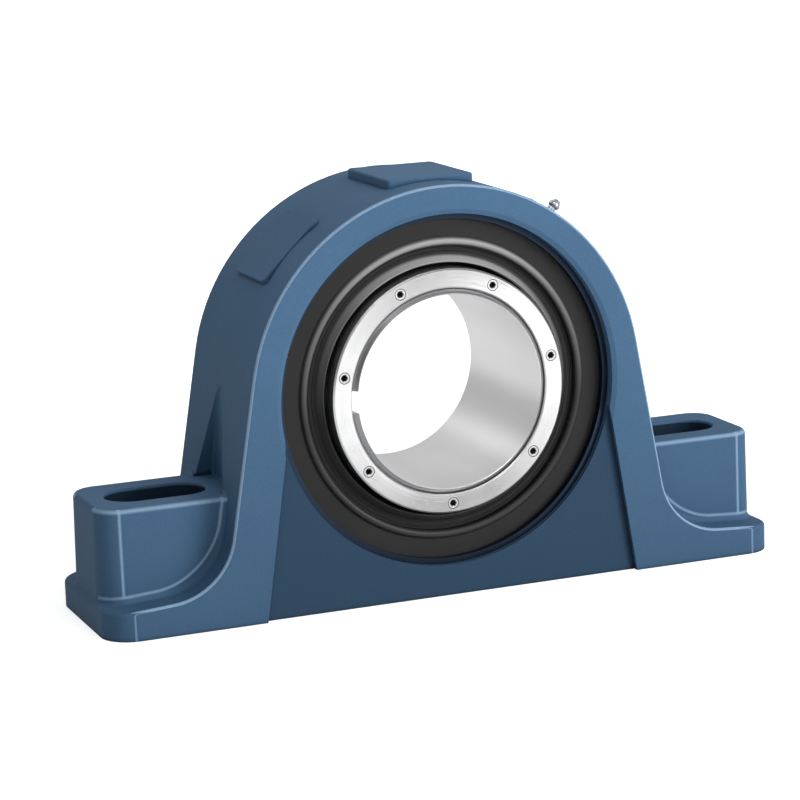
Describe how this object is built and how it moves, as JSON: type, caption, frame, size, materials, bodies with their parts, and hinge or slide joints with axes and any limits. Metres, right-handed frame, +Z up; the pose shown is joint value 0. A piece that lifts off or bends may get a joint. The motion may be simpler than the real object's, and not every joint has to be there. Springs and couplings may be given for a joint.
{
  "type": "pillow block bearing",
  "caption": "Pillow block unit with a self-aligning spherical roller bearing, stepped clamping sleeve, screw collar and slotted feet.",
  "frame": {"origin": "centre of the base's underside", "axes": "+X along the base towards the foot below the grease nipple, shaft along Y with the collar at the -Y end, +Z up"},
  "size_m": [0.371, 0.0938, 0.215],
  "materials": {
    "housing_paint": "satin paint on cast iron",
    "ring_steel": "ground",
    "roller_steel": "polished",
    "cage_brass": "machined",
    "sleeve_steel": "turned",
    "collar_steel": "machined, bright",
    "carrier_black": "black, satin",
    "seal_rubber": "satin",
    "spring_steel": "drawn wire",
    "snap_ring_steel": "blackened",
    "nipple_steel": "zinc plated",
    "screw_steel": "black oxide"
  },
  "bodies": {
    "fixed": {"housing": "housing_paint", "outer_ring": "ring_steel", "seal_carrier_front": "carrier_black", "seal_carrier_rear": "carrier_black", "retaining_ring_front": "snap_ring_steel", "retaining_ring_rear": "snap_ring_steel", "o_ring_front": "seal_rubber", "o_ring_rear": "seal_rubber", "grease_nipple": "nipple_steel", "nipple_spring": "spring_steel"},
    "aligning": {"seal_ring_front": "seal_rubber", "seal_ring_rear": "seal_rubber", "garter_spring_front": "spring_steel", "garter_spring_rear": "spring_steel", "guide_ring": "ring_steel"},
    "turning": {"inner_ring": "ring_steel"},
    "row_front": {"cage_front": "cage_brass", "rollers_front": "roller_steel"},
    "row_rear": {"cage_rear": "cage_brass", "rollers_rear": "roller_steel"},
    "sleeve": {"stepped_sleeve": "sleeve_steel", "mounting_collar": "collar_steel"},
    "screws": {"grub_screw_1": "screw_steel", "grub_screw_2": "screw_steel", "grub_screw_3": "screw_steel", "grub_screw_4": "screw_steel", "grub_screw_5": "screw_steel", "grub_screw_6": "screw_steel", "grub_screw_7": "screw_steel"},
    "valve": {"nipple_ball": "spring_steel"}
  },
  "joints": [
    {"name": "alignment_tilt", "type": "hinge", "parent": "fixed", "child": "aligning", "pos_m": [0, 0, 0.107], "axis": [1, 0, 0], "range_deg": [-1.5, 1.5]},
    {"name": "shaft_spin", "type": "hinge", "parent": "aligning", "child": "turning", "pos_m": [0, 0, 0.107], "axis": [0, 1, 0], "continuous": true},
    {"name": "cage_spin_front", "type": "hinge", "parent": "aligning", "child": "row_front", "pos_m": [0, 0, 0.107], "axis": [0, 1, 0], "continuous": true},
    {"name": "cage_spin_rear", "type": "hinge", "parent": "aligning", "child": "row_rear", "pos_m": [0, 0, 0.107], "axis": [0, 1, 0], "continuous": true},
    {"name": "sleeve_draw", "type": "slide", "parent": "turning", "child": "sleeve", "axis": [0, -1, 0], "range_m": [0, 0.001]},
    {"name": "screw_feed", "type": "slide", "parent": "sleeve", "child": "screws", "axis": [0, 1, 0], "range_m": [0, 0.001]},
    {"name": "valve_press", "type": "slide", "parent": "fixed", "child": "valve", "axis": [-0.6947, 0, -0.7193], "range_m": [0, 0.0006], "stiffness_N_per_m": 400, "springref_m": -0.001}
  ],
  "couplings": [
    {"joint": "cage_spin_front", "follows": "shaft_spin", "ratio": 0.422},
    {"joint": "cage_spin_rear", "follows": "shaft_spin", "ratio": 0.422},
    {"joint": "screw_feed", "follows": "sleeve_draw", "ratio": 1}
  ]
}
